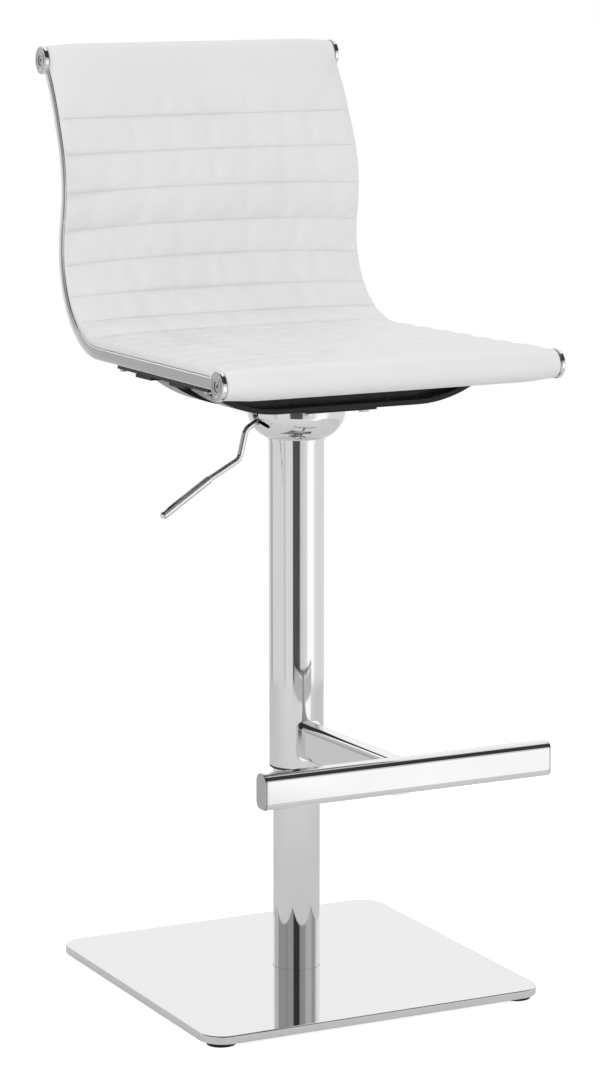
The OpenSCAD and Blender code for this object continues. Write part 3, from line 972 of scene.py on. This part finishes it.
def face_height(settings, line, t):
    """Heights of the front and back faces above and below the middle line, in mm, before they are rounded."""
    seams = seam_places(settings)
    back_share = ease(line, BACK_STARTS, BACK_FULL)
    level = (settings.seat_padding * (1 - back_share) + settings.back_padding * back_share) / MM
    crown = settings.crown / MM * (1 - 0.8 * back_share) * (1 - np.abs(t) ** 5)
    pitch = seams[1] - seams[0]
    channel = np.clip((line - seams[0]) / pitch, 0, settings.channels) % 1
    puff = (1 - np.abs(2 * channel - 1) ** 2.4) ** 0.6
    beyond = np.minimum(np.abs(line - seams[0]), np.abs(line - seams[-1]))
    plain = np.minimum(1, beyond / 16) ** 0.6
    puff = np.where((line >= seams[0]) & (line <= seams[-1]), puff, plain)
    depth = settings.seam_depth / MM * (1 - 0.45 * back_share) * (0.35 + 0.65 * ease(1 - np.abs(t), 0, 0.06))
    return level + crown - depth * (1 - puff), 5.2 + 1.8 * puff


def sling_rows(settings):
    """Every row of the sling from nose to nose: its ring of points, and each point's line, gap and side."""
    t = column_places(RAIL_FACE_X / MM)
    one = np.ones_like(t)
    rows = []

    def ring(line, around, wrapped):
        """One row: around is its faces' angle from the heading, and wrapped is its share of the roll."""
        share = 1 - ease(line, 8, 16) + ease(line, PATH_LENGTH - 16, PATH_LENGTH - 8)
        s = line + seam_bow(line) * (1 - np.abs(t) ** 2.5)
        over, under = face_height(settings, line, t)
        inset_front = LIP_INSET * (1 - share) + ROLL_INSET * share
        inset_back = SIDE_INSET * (1 - share) + ROLL_INSET * share
        gap = (1 - np.abs(t)) * RAIL_FACE_X / MM
        roll = ROLL_RADIUS + ROLL_SWELL * ease(gap, 0, 45)
        front = over * (1 - wrapped) + roll * wrapped
        rim = LIP_UNDERSIDE * (1 - wrapped) + HEM * wrapped
        front = rim + (front - rim) * edge_round(gap, 4.6 * (1 - share) + 1.4 * share)
        back = under * (1 - wrapped) + roll * wrapped
        hem = 1 * (1 - wrapped) + HEM * wrapped
        back = hem + (back - hem) * edge_round(gap, 6.0 * (1 - share) + 1.4 * share)
        top = place_points(s, inset_front * one, t, front, around)
        bottom = place_points(s, inset_back * one, t, back, -around)
        sides = []
        for side in (1, -1):
            start, end = (top[-1], bottom[-1]) if side > 0 else (top[0], bottom[0])
            line_up = []
            for k, (inset, offset) in enumerate(SIDE_STATIONS):
                at = place_points(np.array([line]), inset * one[:1], side, np.array([offset]))[0]
                straight = start + (end - start) * (k + 1) / (len(SIDE_STATIONS) + 1)
                line_up.append(at * (1 - share) + straight * share)
            sides.append(line_up)
        points = [*top, *sides[0], *bottom[::-1], *sides[1][::-1]]
        count = len(SIDE_STATIONS)
        face = [1] * len(t) + [0] * count + [-1] * len(t) + [0] * count
        gaps = [*gap, *[0] * count, *gap[::-1], *[0] * count]
        rows.append((points, [line] * len(points), gaps, face))

    quarter = math.pi / 2
    for k in range(NOSE_STEPS // 2):
        ring(0.0, math.pi - quarter * k / (NOSE_STEPS / 2) - (0.002 if k == 0 else 0), 1.0)
    for line in row_places(seam_places(settings)):
        wrapped = 1 - ease(line, 4, 42) + ease(line, PATH_LENGTH - 42, PATH_LENGTH - 4)
        ring(line, quarter, float(wrapped))
    for k in range(NOSE_STEPS // 2 - 1, -1, -1):
        ring(PATH_LENGTH, quarter * k / (NOSE_STEPS / 2) + (0.002 if k == 0 else 0), 1.0)
    return rows, len(t)


def sling_mesh(settings):
    """The closed sling before it is inflated, with each vertex's line, gap and face kept as attributes."""
    rows, columns = sling_rows(settings)
    ring = len(rows[0][0])
    side = len(SIDE_STATIONS)
    faces = []
    for k in range(len(rows) - 1):
        a, b = k * ring, (k + 1) * ring
        faces += [(a + j, a + (j + 1) % ring, b + (j + 1) % ring, b + j) for j in range(ring)]
    for start in (0, (len(rows) - 1) * ring):
        lower = [columns + side + columns - 1 - j for j in range(columns)]
        for j in range(columns - 1):
            faces.append((start + j, start + j + 1, start + lower[j + 1], start + lower[j]))
        faces.append(tuple(start + j for j in (columns - 1, *range(columns, columns + side + 1))))
        faces.append(tuple(start + j % ring for j in range(ring - side - 1, ring + 1)))
    mesh = bpy.data.meshes.new("padded_sling")
    mesh.from_pydata([tuple(p) for row in rows for p in row[0]], [], faces)
    for index, name in ((1, "line"), (2, "gap"), (3, "face")):
        values = np.array([value for row in rows for value in row[index]], np.float32)
        mesh.attributes.new(name, "FLOAT", "POINT").data.foreach_set("value", values)
    piece = bpy.data.objects.new("padded_sling", mesh)
    bpy.context.scene.collection.objects.link(piece)
    return settle(piece)


def kept(piece, name):
    """The values of a vertex attribute."""
    values = np.empty(len(piece.data.vertices), np.float32)
    piece.data.attributes[name].data.foreach_get("value", values)
    return values


def inflate(piece, weights):
    """Swells the padding with a short cloth simulation, held at its seams, and limits how far it moves."""
    rest = np.array([v.co for v in piece.data.vertices])
    pins = piece.vertex_groups.new(name="held")
    for index, weight in enumerate(weights):
        if weight > 0:
            pins.add([index], float(weight), "REPLACE")
    pick(piece)
    bpy.ops.object.modifier_add(type="CLOTH")
    cloth = piece.modifiers[-1]
    fabric = cloth.settings
    fabric.quality = 5
    fabric.mass = 0.25
    fabric.tension_stiffness = fabric.compression_stiffness = 18
    fabric.shear_stiffness = 8
    fabric.bending_stiffness = 0.6
    fabric.air_damping = 2
    fabric.use_pressure = True
    fabric.uniform_pressure_force = 4
    fabric.shrink_min = -0.012
    fabric.vertex_group_mass = pins.name
    fabric.pin_stiffness = 2
    fabric.effector_weights.gravity = 0
    cloth.collision_settings.use_collision = False
    cloth.point_cache.frame_start = 1
    cloth.point_cache.frame_end = CLOTH_FRAMES
    scene = bpy.context.scene
    for step in range(1, CLOTH_FRAMES + 1):
        scene.frame_set(step)
    bpy.ops.object.modifier_apply(modifier=cloth.name)
    scene.frame_set(1)
    moved = np.array([v.co for v in piece.data.vertices])
    shift = moved - rest
    size = np.linalg.norm(shift, axis=1, keepdims=True)
    limit = CLOTH_CAP * MM
    shift *= np.where(size > 1e-9, limit * np.tanh(size / limit) / np.maximum(size, 1e-9), 0)
    piece.data.vertices.foreach_set("co", (rest + shift).astype(np.float32).ravel())
    piece.data.update()


class STOOL_OT_upholstery(bpy.types.Operator):
    """Model the padded, channelled sling and inflate it between its seams"""

    bl_idname = "stool.upholstery"
    bl_label = "Upholstery"

    def execute(self, context):
        settings = context.scene.stool_upholstery
        piece = sling_mesh(settings)
        line, gap, face = kept(piece, "line"), kept(piece, "gap"), kept(piece, "face")
        from_seam = np.abs(line[:, None] - seam_places(settings)).min(1)
        near_roll = np.maximum(1 - line / 14, 1 - (PATH_LENGTH - line) / 14)
        held = (from_seam < 0.1) | (gap < 1.0) | (face == 0) | ((face < 0) & (gap < 4))
        inflate(piece, np.where(held, 1.0, np.clip(near_roll, 0, 0.95)))
        co = np.array([v.co for v in piece.data.vertices])
        normals = np.array([v.normal for v in piece.data.vertices])
        pucker = np.array([noise.noise(Vector((x / MM / 11, at / 24, 3.7))) for x, at in zip(co[:, 0], line)])
        share = np.exp(-((from_seam / 9) ** 2)) * (0.35 + 0.65 * np.exp(-gap / 45)) * np.clip(gap / 6, 0, 1)
        co += normals * (PUCKER * MM * pucker * share * ~held)[:, None]
        piece.data.vertices.foreach_set("co", co.astype(np.float32).ravel())
        # Nearness to a seam, which the leather's colour uses to paint shade along the seams.
        near = piece.data.attributes.new("seam_shade_weight", "FLOAT", "POINT")
        near.data.foreach_set("value", np.exp(-((from_seam / 2.2) ** 2)).astype(np.float32))
        pick(piece)
        bpy.ops.object.modifier_add(type="SUBSURF")
        piece.modifiers[-1].levels = piece.modifiers[-1].render_levels = 1
        bpy.ops.object.modifier_apply(modifier=piece.modifiers[-1].name)
        pick(piece)
        bpy.ops.object.shade_smooth()
        ready(piece, body_of_node("seat_sling"), finish("white_leather"), ("seat_sling",))
        return {"FINISHED"}


# A stitch from end to end: (share of its length, share of the thread's radius, height in radii)
STITCH_STATIONS = (
    (-0.5, 0.25, -1.0),
    (-0.42, 0.9, -0.35),
    (0.0, 1.0, 0.35),
    (0.42, 0.9, -0.35),
    (0.5, 0.25, -1.0),
)
STITCH_SIDES = 6
STITCH_LENGTH = 0.64
STITCH_SINK = 0.55


def stitch_places(settings, tree):
    """Each stitch's place on the leather, with the directions out of it and along the seam."""
    half = RAIL_FACE_X / MM - 5
    pitch = settings.stitch_pitch / MM
    inset = np.zeros(1)
    for seam in seam_places(settings):
        for sign, reach in ((1, half), (-1, half - RAIL_WIDTH - 3)):
            count = int(2 * reach / pitch)
            for k in range(count):
                t = reach / (RAIL_FACE_X / MM) * (2 * (k + 0.5) / count - 1)
                s = np.array([seam + seam_bow(seam) * (1 - abs(t) ** 2.5)])
                base = place_points(s, inset, t, np.array([2.0]))[0]
                high = place_points(s, inset, t, np.array([32.0 * sign]))[0]
                out = Vector(high - base).normalized()
                hit = tree.ray_cast(Vector(high), -out)[0]
                if hit is None:
                    continue
                along = Vector((1, 0, 0)) - out * out.x
                along.normalize()
                yield hit, out, along


def add_stitch(verts, faces, place, out, along, length, radius):
    """Adds one closed stitch to the lists, lying on the leather at a place."""
    across = out.cross(along)
    ring = [(math.cos(a), math.sin(a)) for a in np.linspace(0, 2 * math.pi, STITCH_SIDES + 1)[:-1]]
    first = len(verts)
    for share, scale, height in STITCH_STATIONS:
        middle = place + along * (share * length) + out * ((height + STITCH_SINK) * radius)
        for c, d in ring:
            verts.append(middle + (across * c + out * d) * (radius * scale))
    for k in range(len(STITCH_STATIONS) - 1):
        a, b = first + k * STITCH_SIDES, first + (k + 1) * STITCH_SIDES
        for j in range(STITCH_SIDES):
            after = (j + 1) % STITCH_SIDES
            faces.append((a + j, a + after, b + after, b + j))
    end = first + (len(STITCH_STATIONS) - 1) * STITCH_SIDES
    faces.append(tuple(first + j for j in reversed(range(STITCH_SIDES))))
    faces.append(tuple(end + j for j in range(STITCH_SIDES)))


class STOOL_OT_stitching(bpy.types.Operator):
    """Sew a row of stitches along every seam, on the front and on the back"""

    bl_idname = "stool.stitching"
    bl_label = "Stitching"

    def execute(self, context):
        settings = context.scene.stool_upholstery
        sling = bpy.data.objects["padded_sling"]
        tree = BVHTree.FromObject(sling, bpy.context.evaluated_depsgraph_get())
        length = STITCH_LENGTH * settings.stitch_pitch
        verts, faces = [], []
        for place, out, along in stitch_places(settings, tree):
            add_stitch(verts, faces, place, out, along, length, settings.thread / 2)
        mesh = bpy.data.meshes.new("seam_stitches")
        mesh.from_pydata(verts, [], faces)
        piece = bpy.data.objects.new("seam_stitches", mesh)
        bpy.context.scene.collection.objects.link(piece)
        settle(piece)
        pick(piece)
        bpy.ops.object.shade_smooth()
        ready(piece, body_of_node("seat_sling"), finish("thread"))
        return {"FINISHED"}


# ---- Stage ----

# Brightness of the studio that the polished parts mirror, as (degrees, level) stops.
# Round the horizon and below it, by the angle from the camera's side:
LEVELS_AROUND = (
    (-180, 0.80),
    (-137, 0.78),
    (-132, 0.46),
    (-120, 0.46),
    (-115, 0.78),
    (-57, 0.79),
    (-50, 0.60),
    (-43, 0.82),
    (-17, 0.80),
    (-13, 0.09),
    (13, 0.09),
    (17, 0.70),
    (42, 0.82),
    (51, 1.22),
    (72, 1.22),
    (86, 0.84),
    (179, 0.80),
)
# By height above the horizon, on the camera's side and behind the stool:
LEVELS_FRONT = (
    (-90, 1.0),
    (0, 1.0),
    (2.5, 0.62),
    (12.5, 0.58),
    (14.5, 0.50),
    (18.5, 0.50),
    (20.5, 0.045),
    (68, 0.045),
    (82, 0.35),
    (90, 0.7),
)
LEVELS_REAR = ((-90, 1.0), (2, 1.0), (9, 1.3), (21, 1.3), (26, 1.0))
FILL_LEVEL = (0.585, 0.585, 0.587, 1)
# Name, angle from the camera's side in degrees, distance, height, size and share of the key light's power
LIGHTS = (
    ("key_light", 28, 2.8, 1.9, 1.8, 1.2),
    ("fill_light", -42, 2.8, 1.5, 1.8, 0.8),
    ("top_light", 180, 0.5, 3.0, 2.6, 0.5),
    ("rear_light", 165, 2.8, 2.2, 1.8, 0.5),
)
LIGHTS_AIM = (0, 0, 0.7)
FLOOR_DROP = 0.0005
# Middle of the painted pool of light that glows from the floor
PAINTED_POOL_OF_LIGHT = (0.68, -1.62, 0)


def studio_world(azimuth):
    """White studio seen in the polished parts: bright behind the stool, dark in gaps on the camera's side."""
    world = bpy.data.worlds.new("studio")
    bpy.context.scene.world = world
    world.use_nodes = True
    nodes, links = world.node_tree.nodes, world.node_tree.links
    nodes.clear()

    def node(kind, operation=None, *values):
        """A new node, its inputs set or linked in order."""
        made = nodes.new(kind)
        if operation:
            made.operation = operation
        for socket, value in zip(made.inputs, values):
            if isinstance(value, (int, float)):
                socket.default_value = value
            elif value is not None:
                links.new(value, socket)
        return made

    def ramp(value, stops):
        """A grey ramp through (position, level) stops."""
        made = node("ShaderNodeValToRGB", None, value)
        elements = made.color_ramp.elements
        while len(elements) < len(stops):
            elements.new(0.5)
        for element, (position, level) in zip(elements, stops):
            element.position = position
            element.color = (level, level, level, 1)
        return made.outputs["Color"]

    direction = node("ShaderNodeTexCoord").outputs["Generated"]
    turn = nodes.new("ShaderNodeVectorRotate")
    turn.rotation_type = "Z_AXIS"
    turn.inputs["Angle"].default_value = math.pi / 2 - azimuth
    links.new(direction, turn.inputs["Vector"])
    axes = node("ShaderNodeSeparateXYZ", None, turn.outputs["Vector"])
    around = node("ShaderNodeMath", "ARCTAN2", axes.outputs["Y"], axes.outputs["X"]).outputs[0]
    share = node("ShaderNodeMath", "MULTIPLY_ADD", around, 0.5 / math.pi, 0.5).outputs[0]
    apart = node("ShaderNodeMath", "ABSOLUTE", around).outputs[0]
    height = node("ShaderNodeMath", "MULTIPLY_ADD", axes.outputs["Z"], 0.5, 0.5).outputs[0]

    def place(degrees):
        """Position of an angle round the stool on a ramp from 0 to 1."""
        return 0.5 + degrees / 360

    def lift(degrees):
        """Position of a height above the horizon on a ramp from 0 to 1."""
        return 0.5 + 0.5 * math.sin(math.radians(degrees))

    low = ramp(share, [(place(degrees), level) for degrees, level in LEVELS_AROUND])
    front = ramp(height, [(lift(degrees), level) for degrees, level in LEVELS_FRONT])
    rear = ramp(height, [(lift(degrees), level) for degrees, level in LEVELS_REAR])
    behind = node("ShaderNodeMapRange", None, apart, math.radians(96), math.radians(124)).outputs[0]

    def mixed(factor, a, b):
        """Colour a, or b where the factor is 1."""
        made = nodes.new("ShaderNodeMix")
        made.data_type = "RGBA"
        for name, value in (("Factor", factor), ("A", a), ("B", b)):
            socket = next(i for i in made.inputs if i.name == name and i.enabled)
            links.new(value, socket)
        return next(o for o in made.outputs if o.enabled)

    level = mixed(behind, front, rear)
    above = node("ShaderNodeMapRange", None, height, lift(20), lift(24)).outputs[0]
    white = node("ShaderNodeRGB")
    white.outputs[0].default_value = (1, 1, 1, 1)
    bands = mixed(above, low, white.outputs[0])
    shown = nodes.new("ShaderNodeVectorMath")
    shown.operation = "MULTIPLY"
    links.new(level, shown.inputs[0])
    links.new(bands, shown.inputs[1])
    path = node("ShaderNodeLightPath").outputs
    soft = node("ShaderNodeRGB")
    soft.outputs[0].default_value = FILL_LEVEL
    colour = mixed(path["Is Diffuse Ray"], shown.outputs[0], soft.outputs[0])
    colour = mixed(path["Is Camera Ray"], colour, white.outputs[0])
    background = nodes.new("ShaderNodeBackground")
    links.new(colour, background.inputs["Color"])
    background.inputs["Strength"].default_value = 1.0
    output = nodes.new("ShaderNodeOutputWorld")
    links.new(background.outputs[0], output.inputs["Surface"])


def floor_paint():
    """White studio floor, washed out where it is seen directly, with a painted pool of light in front where
    the floor itself glows.
    """
    s = Surface("floor_paint", Roughness=0.9, Emission_Color=(1, 1, 1, 1))
    pool = s.nodes.new("ShaderNodeVectorMath")
    pool.operation = "DISTANCE"
    s.links.new(s.place, pool.inputs[0])
    pool.inputs[1].default_value = PAINTED_POOL_OF_LIGHT
    # Painted light: the floor glows in a pool round one point, with no lamp making it.
    spot = s.between(pool.outputs["Value"], 0.25, 0.5, 0.42, 0.0)
    seen = s.nodes.new("ShaderNodeLightPath").outputs["Is Camera Ray"]
    glow = s.math("ADD", spot, s.math("MULTIPLY", seen, 0.9))
    tint = s.colours(s.noise(3, 3), (0.3, (0.80, 0.80, 0.805)), (0.7, (0.83, 0.83, 0.835)))
    return s.set(Base_Color=tint, Emission_Strength=glow)


def softbox(name, location, aim, size, power):
    """A large soft light that polished parts don't mirror."""
    clean_start()
    bpy.ops.object.light_add(type="AREA", location=location)
    light = bpy.context.object
    light.name = name
    light.data.shape = "SQUARE"
    light.data.size = size
    light.data.energy = power
    light.rotation_euler = (Vector(aim) - Vector(location)).to_track_quat("-Z", "Y").to_euler()
    light.visible_glossy = False
    light.visible_camera = False


class STOOL_OT_stage(bpy.types.Operator):
    """Set up the pale floor, the soft studio light and the camera"""

    bl_idname = "stool.stage"
    bl_label = "Studio"

    def execute(self, context):
        stage = context.scene.stool_stage
        clean_start()
        bpy.ops.mesh.primitive_circle_add(
            vertices=128, radius=stage.floor_radius, fill_type="NGON", location=(0, 0, -FLOOR_DROP)
        )
        floor = named("studio_floor")
        floor.data.materials.append(floor_paint())

        studio_world(stage.azimuth)
        aside = stage.azimuth
        for name, turn, away, high, size, share in LIGHTS:
            angle = aside + math.radians(turn)
            spot = (away * math.sin(angle), -away * math.cos(angle), high)
            softbox(name, spot, LIGHTS_AIM, size, stage.key_power * share)

        aim = Vector((0.004, -0.002, stage.aim_height))
        flat = math.cos(stage.elevation)
        back = Vector((math.sin(aside) * flat, -math.cos(aside) * flat, math.sin(stage.elevation)))
        clean_start()
        bpy.ops.object.camera_add(location=aim + back * stage.distance)
        camera = bpy.context.object
        camera.rotation_euler = (-back).to_track_quat("-Z", "Y").to_euler()
        camera.data.lens = stage.focal_length
        camera.data.sensor_width = 36
        camera.data.clip_end = 50
        camera.name = "camera"
        context.scene.camera = camera
        context.scene.view_settings.view_transform = "Standard"
        return {"FINISHED"}


class STOOL_PT_panel(bpy.types.Panel):
    """Lists the stool's settings and building steps"""

    bl_idname = "STOOL_PT_panel"
    bl_label = "Swivel Stool"
    bl_space_type = "VIEW_3D"
    bl_region_type = "UI"
    bl_category = "Stool"

    def draw(self, context):
        for title, group, steps in PANEL_ROWS:
            box = self.layout.box()
            box.label(text=title)
            settings = getattr(context.scene, group)
            for name in settings.bl_rna.properties.keys():
                if name not in ("rna_type", "name"):
                    box.prop(settings, name)
            for step in steps:
                box.operator(step.bl_idname)


PANEL_ROWS = (
    ("Metal", "stool_metal", (STOOL_OT_finish_cad, STOOL_OT_base_cover, STOOL_OT_rails, STOOL_OT_lever)),
    ("Upholstery", "stool_upholstery", (STOOL_OT_upholstery, STOOL_OT_stitching)),
    ("Studio", "stool_stage", (STOOL_OT_stage,)),
)
SETTINGS = {
    "stool_metal": StoolMetalSettings,
    "stool_upholstery": StoolUpholsterySettings,
    "stool_stage": StoolStageSettings,
}
CLASSES = (
    *SETTINGS.values(),
    STOOL_OT_finish_cad,
    STOOL_OT_base_cover,
    STOOL_OT_rails,
    STOOL_OT_lever,
    STOOL_OT_upholstery,
    STOOL_OT_stitching,
    STOOL_OT_stage,
    STOOL_PT_panel,
)


def register():
    for entry in CLASSES:
        bpy.utils.register_class(entry)
    for name, group in SETTINGS.items():
        setattr(bpy.types.Scene, name, bpy.props.PointerProperty(type=group))


def unregister():
    for name in SETTINGS:
        delattr(bpy.types.Scene, name)
    for entry in reversed(CLASSES):
        bpy.utils.unregister_class(entry)


def main():
    register()
    bpy.ops.stool.stage()
    bpy.ops.stool.finish_cad()
    bpy.ops.stool.base_cover()
    bpy.ops.stool.rails()
    bpy.ops.stool.lever()
    bpy.ops.stool.upholstery()
    bpy.ops.stool.stitching()


if __name__ == "__main__":
    main()
